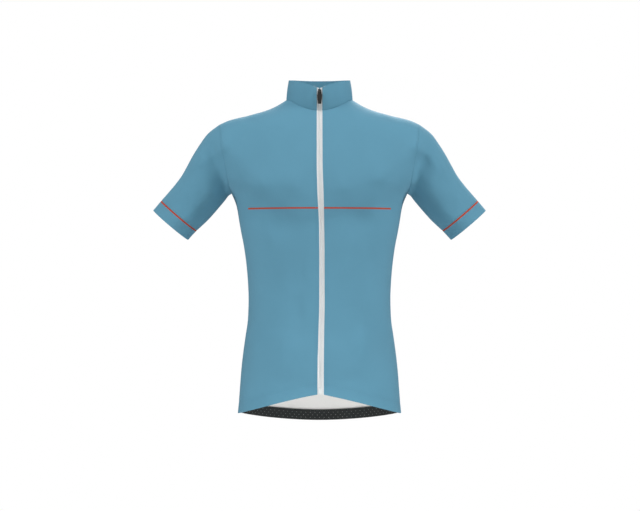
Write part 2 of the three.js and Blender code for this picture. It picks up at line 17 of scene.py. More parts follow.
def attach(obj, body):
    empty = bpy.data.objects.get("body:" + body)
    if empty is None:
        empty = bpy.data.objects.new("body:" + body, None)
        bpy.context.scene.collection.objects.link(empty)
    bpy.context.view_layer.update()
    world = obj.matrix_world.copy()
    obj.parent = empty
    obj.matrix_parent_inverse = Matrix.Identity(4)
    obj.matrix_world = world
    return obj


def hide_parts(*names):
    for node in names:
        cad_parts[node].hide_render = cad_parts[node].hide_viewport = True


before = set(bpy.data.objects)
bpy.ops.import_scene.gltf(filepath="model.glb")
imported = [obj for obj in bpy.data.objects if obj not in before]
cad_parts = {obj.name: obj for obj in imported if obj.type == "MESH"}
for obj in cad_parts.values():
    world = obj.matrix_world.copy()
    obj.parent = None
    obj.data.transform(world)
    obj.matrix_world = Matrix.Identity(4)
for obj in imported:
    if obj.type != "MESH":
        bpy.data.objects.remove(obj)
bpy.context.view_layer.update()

bl_info = {
    "name": "Cycling jersey",
    "version": (1, 0, 0),
    "blender": (4, 5, 0),
    "location": "View3D > Sidebar > Jersey",
    "description": "Dresses a cycling jersey in knitted cloth, seams, stitching and a coil zip",
    "category": "Object",
}

MM = 0.001
SAME_POINT = 0.001 * MM
HANDS = (("left", 1), ("right", -1))

# An edge shorter than this crosses the rim of a CAD wall.
RIM_EDGE = 2.15 * MM

# The CAD panels' grids: rows from the hem to the underarm, columns from the zip to the neck's end of the
# shoulder seam, columns in half of the back, and columns in each pocket.
SIDE_ROWS = 17
NECK_COLUMNS = 7
HALF_COLUMNS = 14
POCKET_COLUMNS = 6

# The hem is turned up this high, under two rows of stitches, and each pocket's top holds an elastic.
HEM = 20 * MM
HEM_ROWS = (("bottom", HEM - 2 * MM), ("bottom", HEM + 2 * MM))
POCKETS = 3
POCKET_BAND = 11 * MM

# The printed line across the chest: its height, and how far it runs to each side.
CHEST_LINE_Z = -208 * MM
CHEST_LINE_REACH = 132 * MM

# Distances of stitch rows from a zip edge, the neck, another seam, a pocket's edge and a pocket's divider.
ZIP_ROW = 4.5 * MM
NECK_ROW = 2.5 * MM
SEAM_ROW = 2.2 * MM
POCKET_ROW = 3 * MM
DIVIDER_ROW = 1.5 * MM


def linear(code):
    """The linear colour of an sRGB hex code."""
    parts = [int(code[i : i + 2], 16) / 255 for i in (1, 3, 5)]
    return tuple(c / 12.92 if c <= 0.04045 else ((c + 0.055) / 1.055) ** 2.4 for c in parts)


def length_property(name, description, default):
    """A size in metres that a user can change."""
    return FloatProperty(
        name=name, description=description, default=default, min=0, unit="LENGTH", precision=5
    )


def colour_property(name, description, code):
    """A colour that a user can change."""
    return FloatVectorProperty(
        name=name, description=description, default=linear(code), size=3, min=0, max=1, subtype="COLOR"
    )


class JerseyCloth(bpy.types.PropertyGroup):
    """Sizes and colours of the knitted cloth."""

    wall: length_property("Cloth", "Thickness of one layer of the body cloth", 0.8 * MM)
    collar_wall: length_property("Collar", "Thickness of the doubled collar cloth", 1.5 * MM)
    fineness: IntProperty(name="Fineness", description="New rows for each CAD row", default=6, min=2)
    wale: length_property("Wale", "Width of one column of knit loops as drawn", 1.3 * MM)
    crease: FloatProperty(name="Creases", description="Factor on the depth of creases", default=1.0, min=0)
    outside: colour_property("Outside", "Dyed face of the knit", "#588CA3")
    inside: colour_property("Inside", "Undyed back of the knit", "#F4F4F2")
    trim: colour_property("Trim line", "Printed line at the cuffs and across the chest", "#A8432F")
    trim_width: length_property("Trim width", "Height of the printed lines", 3.0 * MM)


class JerseyTrims(bpy.types.PropertyGroup):
    """Sizes and colours of the zip, the stitching and the hem gripper."""

    tooth_pitch: length_property("Tooth pitch", "Distance between turns of the zip's coil", 1.5 * MM)
    stitch: length_property("Stitch", "Length of one stitch", 2.8 * MM)
    thread: length_property("Thread", "Thickness of the sewing thread", 0.35 * MM)
    dot: length_property("Dot", "Width of a silicone dot on the hem gripper", 1.4 * MM)
    tape: colour_property("Zip tape", "Woven tape and coil of the zip", "#E7E8E8")
    elastic: colour_property("Gripper", "Knitted elastic of the hem gripper", "#2E3131")
    silicone: colour_property("Silicone", "Dots on the hem gripper", "#7C807E")
    metal: colour_property("Slider", "Enamelled slider and pull", "#1E1D1C")


class JerseyStage(bpy.types.PropertyGroup):
    """The camera and the light."""

    distance: length_property("Camera distance", "From the camera to the middle of the jersey", 2.6)
    lens: FloatProperty(name="Lens", description="Focal length in millimetres", default=76.97, min=1)
    sky: FloatProperty(name="Sky", description="Light from the white surroundings", default=0.24, min=0)
    key: FloatProperty(name="Key light", description="Watts of a lamp whose share is 1", default=57.0, min=0)


SETTINGS = {"jersey_cloth": JerseyCloth, "jersey_trims": JerseyTrims, "jersey_stage": JerseyStage}


# Finding the CAD skin's rows and columns again


def connected(items, neighbours):
    """The groups of items that hang together."""
    left = set(items)
    groups = []
    while left:
        queue = [left.pop()]
        group = list(queue)
        while queue:
            near = neighbours(queue.pop()) & left
            left -= near
            queue.extend(near)
            group.extend(near)
        groups.append(group)
    return groups


def merged(node):
    """A bmesh of a CAD node's mesh, with its triangles joined."""
    bm = bmesh.new()
    bm.from_mesh(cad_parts[node].data)
    bmesh.ops.remove_doubles(bm, verts=bm.verts, dist=SAME_POINT)
    return bm


def outer_skin(node, ring):
    """A bmesh of the outer skin of a CAD wall, without its inner skin and its rims."""
    bm = merged(node)
    rims = [face for face in bm.faces if min(edge.calc_length() for edge in face.edges) < RIM_EDGE]
    bmesh.ops.delete(bm, geom=rims, context="FACES")
    bm.normal_update()
    middle = sum((vert.co for vert in bm.verts), Vector()) / len(bm.verts)

    def facing(face):
        centre = face.calc_center_median()
        core = middle if ring else Vector((0, 0, centre.z))
        return face.calc_area() * face.normal.dot(centre - core)

    skins = connected(bm.faces, lambda face: {other for edge in face.edges for other in edge.link_faces})
    outer = set(max(skins, key=lambda skin: sum(facing(face) for face in skin)))
    bmesh.ops.delete(bm, geom=[face for face in bm.faces if face not in outer], context="FACES")
    return bm


def first_triangle(bm, ring):
    """One triangle of the skin, and the places (row, column) of its corners in the skin's grid."""
    if not ring:
        ear = min((v for v in bm.verts if len(v.link_faces) == 1), key=lambda v: v.co.z)
        ends = [v for v in ear.link_faces[0].verts if v is not ear]
        along, up = sorted(ends, key=lambda v: (v.co - ear.co).normalized().z)
        return ear.link_faces[0], {ear: (0, 0), up: (1, 0), along: (0, -1)}
    rims = connected(
        {v for edge in bm.edges if edge.is_boundary for v in edge.verts},
        lambda vert: {edge.other_vert(vert) for edge in vert.link_edges if edge.is_boundary},
    )
    first = min(rims, key=lambda rim: sum(abs(v.co.x) for v in rim) / len(rim))
    low = min(first, key=lambda v: v.co.z)
    edge = min((e for e in low.link_edges if e.is_boundary), key=lambda e: e.other_vert(low).co.y)
    face = edge.link_faces[0]
    third = next(v for v in face.verts if v not in edge.verts)
    return face, {low: (0, 0), edge.other_vert(low): (0, 1), third: (1, 1)}


@functools.cache
def lattice(node, ring=False):
    """The grid of points, rows by columns, that a CAD panel's outer skin was built on.

    Two triangles that share an edge make a parallelogram in the grid, so each gives the next one's place.
    """
    bm = outer_skin(node, ring)
    face, place = first_triangle(bm, ring)
    around = sum(edge.is_boundary for edge in bm.edges) // 2
    seen = {face}
    queue = [face]
    while queue:
        face = queue.pop()
        for edge in face.edges:
            near = next(v for v in face.verts if v not in edge.verts)
            for other in set(edge.link_faces) - seen:
                far = next(v for v in other.verts if v not in edge.verts)
                p, q, r = place[edge.verts[0]], place[edge.verts[1]], place[near]
                column = p[1] + q[1] - r[1]
                place.setdefault(far, (p[0] + q[0] - r[0], column % around if ring else column))
                seen.add(other)
                queue.append(other)
    first = min(column for _, column in place.values())
    rows = max(row for row, _ in place.values()) + 1
    columns = max(column for _, column in place.values()) + 1 - first
    if rows * columns != len(bm.verts):
        raise RuntimeError(f"{node}: {len(bm.verts)} points don't fill {rows} rows of {columns}")
    grid = np.empty((rows, columns, 3))
    for vert, (row, column) in place.items():
        grid[row, column - first] = vert.co
    bm.free()
    return grid


def back_half(hand):
    """One half of the back's grid, its columns counted from the middle outwards."""
    back = lattice("back")
    return back[:, HALF_COLUMNS:] if hand > 0 else back[:, HALF_COLUMNS::-1]


# Smooth cloth through a grid


def through(points, places, ring=False):
    """Points on smooth curves through the given ones, at fractional places along the first axis."""
    count = len(points)
    if ring:
        ends = points.take(range(-1, count + 2), axis=0, mode="wrap")
    else:
        ends = np.concatenate([2 * points[:1] - points[1:2], points, 2 * points[-1:] - points[-2:-1]])
    spans = count if ring else count - 1
    first = np.minimum(np.asarray(places).astype(int), spans - 1)
    t = (np.asarray(places) - first).reshape(-1, *[1] * (points.ndim - 1))
    a, b, c, d = (ends[first + k] for k in range(4))
    return 0.5 * (2 * b + (c - a) * t + (2 * a - 5 * b + 4 * c - d) * t**2 + (3 * b - a - 3 * c + d) * t**3)


def stations(spans, steps, ring=False):
    """Even places along a side of a grid, with closer ones beside its two seams."""
    places = np.arange(spans * steps + 1) / steps
    if ring:
        return places
    close = np.array([0.03, 0.08])
    return np.sort(np.concatenate([places, close, spans - close]))


def unit(vectors):
    """The same directions with length 1."""
    return vectors / np.maximum(np.linalg.norm(vectors, axis=-1, keepdims=True), 1e-12)


def normals_of(points, ring=False):
    """Directions out of a sheet of points: away from a ring's middle, or from the jersey's upright axis."""
    rows = np.gradient(points, axis=0)
    wrapped = np.concatenate([points[:, -2:-1], points, points[:, 1:2]], axis=1) if ring else points
    columns = np.gradient(wrapped, axis=1)
    if ring:
        columns = columns[:, 1:-1]
    out = unit(np.cross(columns, rows))
    from_core = points - points.mean(axis=(0, 1)) if ring else points * (1, 1, 0)
    return out if (out * from_core).sum() > 0 else -out


def lengths_along(points, axis):
    """Distance run along each line of a sheet of points."""
    steps = np.linalg.norm(np.diff(points, axis=axis), axis=-1)
    start = np.zeros_like(steps.take([0], axis=axis))
    return np.concatenate([start, np.cumsum(steps, axis=axis)], axis=axis)


def run_along(points):
    """Distance run along one line of points."""
    return lengths_along(points[:, None], 0)[:, 0]


def at_run(places, run, values):
    """Rows of values read off at some distances run, between the given rows."""
    return np.stack([np.interp(places, run, column) for column in values.T], -1)


def smooth_step(value, low, high):
    """0 below low and 1 above high."""
    t = np.clip((value - low) / (high - low), 0, 1)
    return t * t * (3 - 2 * t)


# Creases as seen from the front: start and end in x and z, then half width and depth, all in millimetres.
# A positive depth is a ridge and a negative one a trough. Each falls off more gently on its right-hand side.
FRONT_CREASES = (
    ((-108, -176), (-178, -98), 18, 6.4),
    ((178, -96), (106, -172), 19, 6.8),
    ((-48, -166), (-98, -160), 24, 5.8),
    ((96, -157), (46, -164), 24, 5.6),
    ((-112, -220), (-48, -232), 26, -10.4),
    ((44, -230), (108, -216), 26, -10.2),
    ((-136, -444), (-84, -458), 33, 9.8),
    ((-84, -464), (-30, -474), 28, 5.8),
    ((86, -454), (138, -436), 33, 10.2),
    ((32, -474), (86, -460), 29, 5.6),
    ((-116, -530), (-24, -536), 26, -4.2),
    ((26, -534), (112, -526), 26, -4.2),
    ((-38, -312), (-36, -346), 12, -2.4),
    ((-39, -378), (-36, -404), 12, -2.4),
    ((34, -310), (36, -350), 13, -1.7),
    ((-128, -240), (-92, -262), 12, 0.9),
    ((126, -236), (96, -256), 12, 0.9),
    ((-138, -300), (-100, -318), 9, -0.8),
    ((138, -292), (104, -312), 9, -0.8),
    ((-132, -350), (-98, -352), 8, -0.7),
    ((130, -356), (100, -350), 8, -0.7),
    ((-198, -100), (-187, -158), 15, -7.8),
    ((187, -158), (198, -100), 15, -7.8),
    ((-184, -92), (-226, -126), 15, 6.8),
    ((222, -126), (184, -92), 15, 6.6),
    ((-186, -166), (-246, -232), 14, 6.2),
    ((246, -230), (186, -166), 14, 6.4),
    ((-214, -92), (-268, -168), 16, 2.0),
    ((214, -92), (268, -168), 16, 2.0),
    ((-236, -158), (-252, -212), 9, -0.9),
    ((238, -160), (250, -212), 9, -0.9),
)
BACK_CREASES = (
    ((-176, -92), (-118, -180), 18, 2.4),
    ((176, -96), (112, -176), 18, 2.6),
    ((-100, -212), (-40, -236), 22, -2.0),
    ((104, -206), (38, -232), 22, -2.1),
    ((-8, -140), (6, -300), 26, -2.8),
    ((-120, -300), (-40, -322), 10, -1.2),
    ((118, -296), (44, -318), 10, -1.2),
    ((-66, -60), (-20, -74), 12, -0.9),
    ((64, -60), (22, -72), 12, -0.9),
    ((-192, -102), (-182, -158), 14, -3.8),
    ((192, -106), (182, -158), 14, -3.6),
    ((-202, -170), (-238, -192), 13, -1.8),
    ((202, -170), (238, -194), 13, -1.9),
    ((-216, -108), (-260, -176), 15, 1.6),
    ((214, -106), (260, -176), 15, 1.7),
)


def creased(points):
    """The points moved in and out, seen from the front and the back, along soft and uneven creases."""
    x, z = points[..., 0] / MM, points[..., 2] / MM
    moved = points.copy()
    for side, creases in ((-1, FRONT_CREASES), (1, BACK_CREASES)):
        # the creases of one side fade out before the side seams
        facing = smooth_step(side * points[..., 1] / MM, -4, 26)
        depth = np.zeros_like(x)
        for number, ((x0, z0), (x1, z1), width, height) in enumerate(creases):
            run = np.hypot(x1 - x0, z1 - z0)
            along = ((x - x0) * (x1 - x0) + (z - z0) * (z1 - z0)) / run
            across = ((x - x0) * (z1 - z0) - (z - z0) * (x1 - x0)) / run
            # a crease wanders a little off its line, and is deeper in some places than in others
            across = across + 0.22 * width * np.sin(along / 17 + 1.7 * number)
            level = 0.8 + 0.2 * np.sin(along / 11 + number)
            spread = width * np.where(across > 0, 1.4, 0.8)
            past = np.maximum(np.maximum(-along, along - run), 0)
            depth += height * level * np.exp(-((across / spread) ** 2) - (past / (1.3 * width)) ** 2)
        moved[..., 1] += side * depth * facing * bpy.context.scene.jersey_cloth.crease * MM
    return moved


class Sheet:
    """Fine rows and columns of a cloth piece, the directions out of it and the distances run along it."""

    def __init__(self, grid, ring=False, steps=None):
        self.ring = ring
        steps = steps or bpy.context.scene.jersey_cloth.fineness
        rows = stations(grid.shape[0] - 1, steps)
        columns = stations(grid.shape[1] - (0 if ring else 1), steps, ring)
        self.places = {"left": rows, "right": rows, "bottom": columns, "top": columns}
        down = through(grid, rows)
        self.points = creased(through(down.swapaxes(0, 1), columns, ring).swapaxes(0, 1))
        self.measure()

    def measure(self):
        """Works out the directions out of the sheet and the distances along it."""
        self.out = normals_of(self.points, self.ring)
        self.u = lengths_along(self.points, 1)
        self.v = lengths_along(self.points, 0)

    def move(self, height):
        """Moves each point out by its own height, without measuring the sheet again."""
        self.points = self.points + self.out * height[..., None]

    def groove(self, seams, depth=0.25 * MM, width=1.2 * MM, distance=0):
        """Sinks the cloth along lines at one distance from its sides, such as its seams."""
        for name in seams:
            self.move(-depth * np.exp(-(((self.distance_from(name) - distance) / width) ** 2)))
        self.measure()

    def distance_from(self, side):
        """Distance of each point from one side of the sheet, along the cloth."""
        if side == "right":
            return self.u[:, -1:] - self.u
        if side == "top":
            return self.v[-1:] - self.v
        return self.u if side == "left" else self.v

    def line(self, side, distance, first=0, last=np.inf):
        """The points and directions of a line at one distance from a side, between two rows or columns."""
        away = self.distance_from(side)
        values = np.concatenate([self.points, self.out], axis=-1)
        if side in ("bottom", "top"):
            away, values = away.T, values.swapaxes(0, 1)
        if side in ("top", "right"):
            away, values = away[:, ::-1], values[:, ::-1]
        kept = (self.places[side] >= first) & (self.places[side] <= last)
        found = np.array([at_run(distance, *pair) for pair in zip(away[kept], values[kept])])
        return found[:, :3], unit(found[:, 3:])

    def column_number(self, place):
        """The number of the fine column at one column of the CAD grid."""
        return np.abs(self.places["top"] - place).argmin()

    def column(self, place, aside=0):
        """The points and directions of one column of the CAD grid, or of a line beside it."""
        number = self.column_number(place)
        across = unit(self.points[:, number + 1] - self.points[:, number - 1])
        return self.points[:, number] + across * aside, self.out[:, number]


def cloth_sheet(node, ring=False, steps=None):
    """The fine sheet on the outer skin of a CAD wall."""
    return Sheet(lattice(node, ring), ring, steps)


def plain_object(name, bm, materials):
    """An object from a bmesh."""
    mesh = bpy.data.meshes.new(name)
    bm.to_mesh(mesh)
    bm.free()
    for material in materials:
        mesh.materials.append(material)
    thing = bpy.data.objects.new(name, mesh)
    bpy.context.scene.collection.objects.link(thing)
    return thing


def mesh_object(name, bm, materials, body="jersey"):
    """A smooth-shaded piece of the jersey, riding on a CAD body."""
    piece = plain_object(name, bm, materials)
    piece.data.shade_smooth()
    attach(piece, body)
    return piece


def cloth_mesh(sheet):
    """A bmesh of a sheet, with its own lengths in metres as UV."""
    rows, columns = sheet.points.shape[:2]
    bm = bmesh.new()
    bmesh.ops.create_grid(bm, x_segments=columns - 1, y_segments=rows - 1, size=1)
    uv = bm.loops.layers.uv.new("UVMap")
    if len(bm.verts) != rows * columns:
        raise RuntimeError(f"the grid has {len(bm.verts)} points and not {rows * columns}")
    places = {}
    for vert in bm.verts:
        column = round((vert.co.x + 1) / 2 * (columns - 1))
        row = round((vert.co.y + 1) / 2 * (rows - 1))
        places[vert] = (row, column)
        vert.co = sheet.points[row, column]
    for face in bm.faces:
        for loop in face.loops:
            place = places[loop.vert]
            loop[uv].uv = (sheet.u[place], sheet.v[place])
    bm.normal_update()
    sample = next(iter(bm.faces))
    if sample.normal.dot(Vector(sheet.out[places[sample.verts[0]]])) < 0:
        bmesh.ops.reverse_faces(bm, faces=bm.faces)
    if sheet.ring:
        bmesh.ops.remove_doubles(bm, verts=bm.verts, dist=SAME_POINT)
    return bm


def thicken(piece, name, wall):
    """Gives a sheet its wall, inwards, with the piece's second material on the inner face."""
    layer = piece.modifiers.new(name, "SOLIDIFY")
    layer.thickness = wall
    layer.offset = -1
    layer.material_offset = 1


def cloth_piece(name, sheet, materials, node, wall=None):
    """A thin shell of cloth in place of its CAD node. The second material is its inner face."""
    piece = mesh_object(name, cloth_mesh(sheet), materials)
    thicken(piece, "Wall", wall or bpy.context.scene.jersey_cloth.wall)
    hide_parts(node)
    return piece


# Seams and stitching


def sewn_thread(bm, points, out):
    """One row of stitches along a line on the cloth: slim lozenges, partly sunk in it."""
    trims = bpy.context.scene.jersey_trims
    run = run_along(points)
    count = max(int(run[-1] / trims.stitch), 1)
    middles = (np.arange(count) + 0.5) * run[-1] / count
    half = 0.42 * run[-1] / count
    starts, ends = (at_run(middles + way * half, run, points) for way in (-1, 1))
    for start, end, up in zip(starts, ends, unit(at_run(middles, run, out))):
        stitch_at(bm, Vector(start), Vector(end), Vector(up), trims.thread)


def stitch_at(bm, start, end, up, thread):
    """One stitch between two holes in the cloth, with its middle a fifth of the thread above the cloth."""
    along = (end - start) / 2
    side = up.cross(along).normalized() * thread / 2
    rise = up.normalized() * thread / 2
    turn = Matrix((along, side, rise)).transposed().to_4x4()
    middle = (start + end) / 2 + rise * 0.4
    bmesh.ops.create_icosphere(bm, subdivisions=1, radius=1, matrix=Matrix.Translation(middle) @ turn)


def bartack(bm, point, out, along, width=8 * MM, half_height=1.2 * MM, spacing=0.7 * MM):
    """A short dense bar of zigzag stitches that stops a seam from opening."""
    across = np.cross(out, along)
    for step in np.arange(-width / 2, width / 2, spacing):
        middle = point + across * step
        ends = [Vector(middle + along * reach) for reach in (-half_height, half_height)]
        stitch_at(bm, *ends, Vector(out), 1.6 * bpy.context.scene.jersey_trims.thread)


def stitches(name, bm):
    """All the stitches of one cloth piece as one object."""
    return mesh_object(name, bm, (sewing_thread(),))


def sewn_rows(sheet, *rows):
    """The bmesh of rows of stitches on a sheet: for each a side, the distance from it, its start and end."""
    bm = bmesh.new()
    for row in rows:
        sewn_thread(bm, *sheet.line(*row))
    return bm


def turn_up_hem(sheet):
    """Sinks the cloth a little between the two rows of stitches that hold the turned-up hem."""
    sheet.groove(("bottom",), depth=0.3 * MM, width=3 * MM, distance=HEM)


def seam_band(name, first, second, closed=False, wall=None):
    """The turned-in allowance behind a seam: a narrow band under the edges of its two panels.

    Each panel is given by two rows of points: its edge, and the next row in. The band's middle stands up
    between the two edges and fills the gap that they leave.
    """
    width, crest, layer = 3.5 * MM, 0.5 * MM, 0.4 * MM
    below = (wall or bpy.context.scene.jersey_cloth.wall) + 0.35 * MM
    depths = np.array([below, below, 0.3 * MM, below, below])
    start, end = (
        [edge + unit(beside - edge) * reach for reach in (width, crest)] for edge, beside in (first, second)
    )
    lines = np.stack([*start, (first[0] + second[0]) / 2, *reversed(end)])
    lines = lines - normals_of(lines, closed) * depths[:, None, None]
    band = cloth_mesh(Sheet(lines, closed, steps=3))
    piece = mesh_object(name, band, (knit("body"), knit("inside")))
    thicken(piece, "Allowance", layer)
    return piece


# Materials

# What a Map Range node calls the ends of its two ranges.
RANGE_ENDS = ("From Min", "From Max", "To Min", "To Max")


def add_node(tree, kind, settings=None, links=None, **attributes):
    """Adds a node with its attributes, the values of its inputs and the links into them.

    A link comes from an output, or from a node whose first output is meant.
    """
    node = tree.nodes.new(kind)
    for name, value in attributes.items():
        setattr(node, name, value)
    for name, value in (settings or {}).items():
        node.inputs[name].default_value = value
    for name, source in (links or {}).items():
        output = source.outputs[0] if isinstance(source, bpy.types.Node) else source
        tree.links.new(output, node.inputs[name])
    return node


def new_material(name, **surface):
    """A material with a Principled surface and its node tree."""
    material = bpy.data.materials.new(name)
    material.use_nodes = True
    tree = material.node_tree
    shader = tree.nodes["Principled BSDF"]
    for socket, value in surface.items():
        shader.inputs[socket.replace("_", " ")].default_value = value
    return material, tree, shader


def shaded(tree, colour, pattern, source, factors):
    """A colour made darker and lighter by a pattern, as its values run through a source range."""
    ends = dict(zip(RANGE_ENDS, (*source, *factors)))
    level = add_node(tree, "ShaderNodeMapRange", ends, {"Value": pattern})
    inputs = {"Factor": 1.0, "A": (*colour, 1)}
    mixed = add_node(tree, "ShaderNodeMix", inputs, {"B": level}, data_type="RGBA", blend_type="MULTIPLY")
    return mixed.outputs["Result"]


def finish_surface(tree, shader, colour, height, strength, depth):
    """Gives the shader its colour, and a height pattern of some depth in metres as its bump."""
    tree.links.new(colour, shader.inputs["Base Color"])
    bump = add_node(tree, "ShaderNodeBump", {"Strength": strength, "Distance": depth}, {"Height": height})
    tree.links.new(bump.outputs["Normal"], shader.inputs["Normal"])


def knit_height(tree, wale):
    """Height of a plain knit, from the piece's own UV: columns of loops whose two legs lean together."""
    uv = add_node(tree, "ShaderNodeTexCoord").outputs["UV"]
    parts = add_node(tree, "ShaderNodeSeparateXYZ", links={0: uv})
    # a row of loops is about three quarters as high as a column is wide
    course = 0.75 * wale
    across = add_node(tree, "ShaderNodeMath", {1: 1 / wale}, {0: parts.outputs["X"]}, operation="MULTIPLY")
    up = add_node(tree, "ShaderNodeMath", {1: 1 / course}, {0: parts.outputs["Y"]}, operation="MULTIPLY")
    lean = add_node(tree, "ShaderNodeMath", {1: 0.5}, {0: across}, operation="PINGPONG")
    phase = add_node(tree, "ShaderNodeMath", links={0: up, 1: lean}, operation="ADD")
    turn = add_node(tree, "ShaderNodeMath", {1: 2 * math.pi}, {0: phase}, operation="MULTIPLY")
    legs = add_node(tree, "ShaderNodeMath", links={0: turn}, operation="SINE")
    column = add_node(tree, "ShaderNodeMath", {1: 4 * math.pi}, {0: lean}, operation="MULTIPLY")
    ribs = add_node(tree, "ShaderNodeMath", links={0: column}, operation="SINE")
    return add_node(tree, "ShaderNodeMath", links={0: legs, 1: ribs}, operation="ADD")


def mottled_with_painted_loop_shade(tree, colour, height, lift=0.05):
    """A colour whose dye drifts slowly over the garment at random, with painted shade a little darker between
    the loops or ribs.
    """
    place = add_node(tree, "ShaderNodeTexCoord").outputs["Object"]
    drift, fleck = (
        add_node(tree, "ShaderNodeTexNoise", {"Scale": 1 / size, "Detail": detail}, {"Vector": place})
        for size, detail in ((71.4 * MM, 3.0), (1.11 * MM, 1.0))
    )
    both = add_node(tree, "ShaderNodeMath", {1: 0.5}, {0: fleck, 2: drift}, operation="MULTIPLY_ADD")
    # painted shade: the colour is a little darker where the loops or ribs sink, added to the dye's random
    # drift and flecks
    loops = add_node(tree, "ShaderNodeMath", {1: 0.06}, {0: height, 2: both}, operation="MULTIPLY_ADD")
    return shaded(tree, colour, loops, (0.3, 1.2), (1 - lift, 1 + lift))


def printed_line(tree, base, finish):
    """Adds the printed line: round the arm beside the cuff seam, or straight across the chest."""
    cloth = bpy.context.scene.jersey_cloth
    half = cloth.trim_width / 2
    source, axis, middle = ("UV", "Y", half) if finish == "cuff" else ("Object", "Z", CHEST_LINE_Z)
    place = add_node(tree, "ShaderNodeTexCoord").outputs[source]
    parts = add_node(tree, "ShaderNodeSeparateXYZ", links={0: place})
    level = parts.outputs[axis]
    line = add_node(tree, "ShaderNodeMath", {1: middle, 2: half}, {0: level}, operation="COMPARE")
    if finish == "chest":
        ends = {1: 0, 2: CHEST_LINE_REACH}
        reach = add_node(tree, "ShaderNodeMath", ends, {0: parts.outputs["X"]}, operation="COMPARE")
        line = add_node(tree, "ShaderNodeMath", links={0: line, 1: reach}, operation="MULTIPLY")
    links = {"Factor": line, "A": base}
    mixed = add_node(tree, "ShaderNodeMix", {"B": (*cloth.trim, 1)}, links, data_type="RGBA")
    return mixed.outputs["Result"]


@functools.cache
def knit(finish):
    """Polyester interlock jersey, circular knitted, with dye on its face: matt, with fine columns and a
    bloom, and painted shade between its loops.

    The real loops are about 0.6 mm wide, a third of a pixel here, so they are drawn twice as wide.
    """
    cloth = bpy.context.scene.jersey_cloth
    face = {"Roughness": 0.78, "Specular_IOR_Level": 0.18, "Sheen_Weight": 0.05, "Sheen_Roughness": 0.5}
    material, tree, shader = new_material(f"polyester_knit_{finish}", **face)
    height = knit_height(tree, cloth.wale)
    # painted shade between the loops, in the cloth's colour
    base = mottled_with_painted_loop_shade(tree, cloth.inside if finish == "inside" else cloth.outside, height)
    if finish in ("cuff", "chest"):
        base = printed_line(tree, base, finish)
    finish_surface(tree, shader, base, height, strength=0.35, depth=0.12 * MM)
    return material


@functools.cache
def sewing_thread():
    """Polyester thread, spun, with dye to match the cloth: soft, with a slight shine along its twist."""
    colour = bpy.context.scene.jersey_cloth.outside
    material, tree, shader = new_material("polyester_sewing_thread", Roughness=0.55, Specular_IOR_Level=0.4)
    place = add_node(tree, "ShaderNodeTexCoord").outputs["Object"]
    fibre = 0.4 * MM
    twist = add_node(tree, "ShaderNodeTexNoise", {"Scale": 1 / fibre}, {"Vector": place})
    base = shaded(tree, colour, twist, (0.3, 0.7), (0.8, 1.1))
    tree.links.new(base, shader.inputs["Base Color"])
    return material


@functools.cache
def woven_tape():
    """Polyester zip tape, closely woven: flat and matt, with a fine twill that only shows close to, and
    painted shade in the troughs between its ribs.
    """
    colour = bpy.context.scene.jersey_trims.tape
    material, tree, shader = new_material("woven_polyester_tape", Roughness=0.7, Specular_IOR_Level=0.3)
    uv = add_node(tree, "ShaderNodeTexCoord").outputs["UV"]
    # the twill's ribs lean across the tape, and are drawn twice as wide as real ones, so that they show
    rib = 0.99 * MM
    # along the diagonal, the wave texture takes ten times the sum of its coordinates as an angle
    settings = {"Scale": 2 * math.pi / (10 * math.sqrt(2) * rib), "Distortion": 0.4}
    twill = add_node(tree, "ShaderNodeTexWave", settings, {"Vector": uv}, bands_direction="DIAGONAL")
    height = twill.outputs["Fac"]
    # painted shade: the colour is up to a tenth darker in the troughs between the twill's ribs
    base = shaded(tree, colour, height, (0, 1), (0.9, 1.02))
    finish_surface(tree, shader, base, height, strength=0.4, depth=0.1 * MM)
    return material


@functools.cache
def elastic():
    """Polyamide elastic, warp knitted: near black, matt, with fine ribs along its length."""
    colour = bpy.context.scene.jersey_trims.elastic
    material, tree, shader = new_material("warp_knitted_elastic", Roughness=0.8, Specular_IOR_Level=0.2)
    uv = add_node(tree, "ShaderNodeTexCoord").outputs["UV"]
    up = add_node(tree, "ShaderNodeSeparateXYZ", links={0: uv}).outputs["Y"]
    # the ribs are drawn twice as wide as real ones, so that they show
    rib = 1.6 * MM
    turn = add_node(tree, "ShaderNodeMath", {1: 2 * math.pi / rib}, {0: up}, operation="MULTIPLY")
    ribs = add_node(tree, "ShaderNodeMath", links={0: turn}, operation="SINE")
    # painted shade between the ribs, in the elastic's colour
    base = mottled_with_painted_loop_shade(tree, colour, ribs, lift=0.2)
    finish_surface(tree, shader, base, ribs, strength=0.5, depth=0.2 * MM)
    return material


def grained(name, trim, grain, contrast, roughness, depth, **surface):
    """A moulded or coated material in a trim's colour. A grain varies its colour, gloss and height a little.

    The grain and its depth are sizes in millimetres.
    """
    colour = getattr(bpy.context.scene.jersey_trims, trim)
    material, tree, shader = new_material(name, **surface)
    place = add_node(tree, "ShaderNodeTexCoord").outputs["Object"]
    settings = {"Scale": 1 / (grain * MM), "Detail": 4.0}
    height = add_node(tree, "ShaderNodeTexNoise", settings, {"Vector": place})
    middle = (0.3, 0.7)
    base = shaded(tree, colour, height, middle, (1 - contrast, 1 + contrast))
    ends = dict(zip(RANGE_ENDS, (*middle, roughness - 0.06, roughness + 0.06)))
    rough = add_node(tree, "ShaderNodeMapRange", ends, {"Value": height})
    tree.links.new(rough.outputs["Result"], shader.inputs["Roughness"])
    finish_surface(tree, shader, base, height, strength=0.5, depth=depth * MM)
    return material


@functools.cache
def nylon_coil():
    """Nylon zip coil, drawn as a single thread and heat set: smooth and slightly waxy."""
    look = {"grain": 0.556, "contrast": 0.03, "roughness": 0.42, "depth": 0.03}
    return grained("nylon_coil", "tape", **look, Subsurface_Weight=0.1)


@functools.cache
def enamelled_zinc():
    """Zinc, die cast and enamelled black: an even coat with a soft gloss that is duller in places."""
    look = {"grain": 1.11, "contrast": 0.15, "roughness": 0.3, "depth": 0.02}
    return grained("enamelled_zinc", "metal", **look, Specular_IOR_Level=0.5)


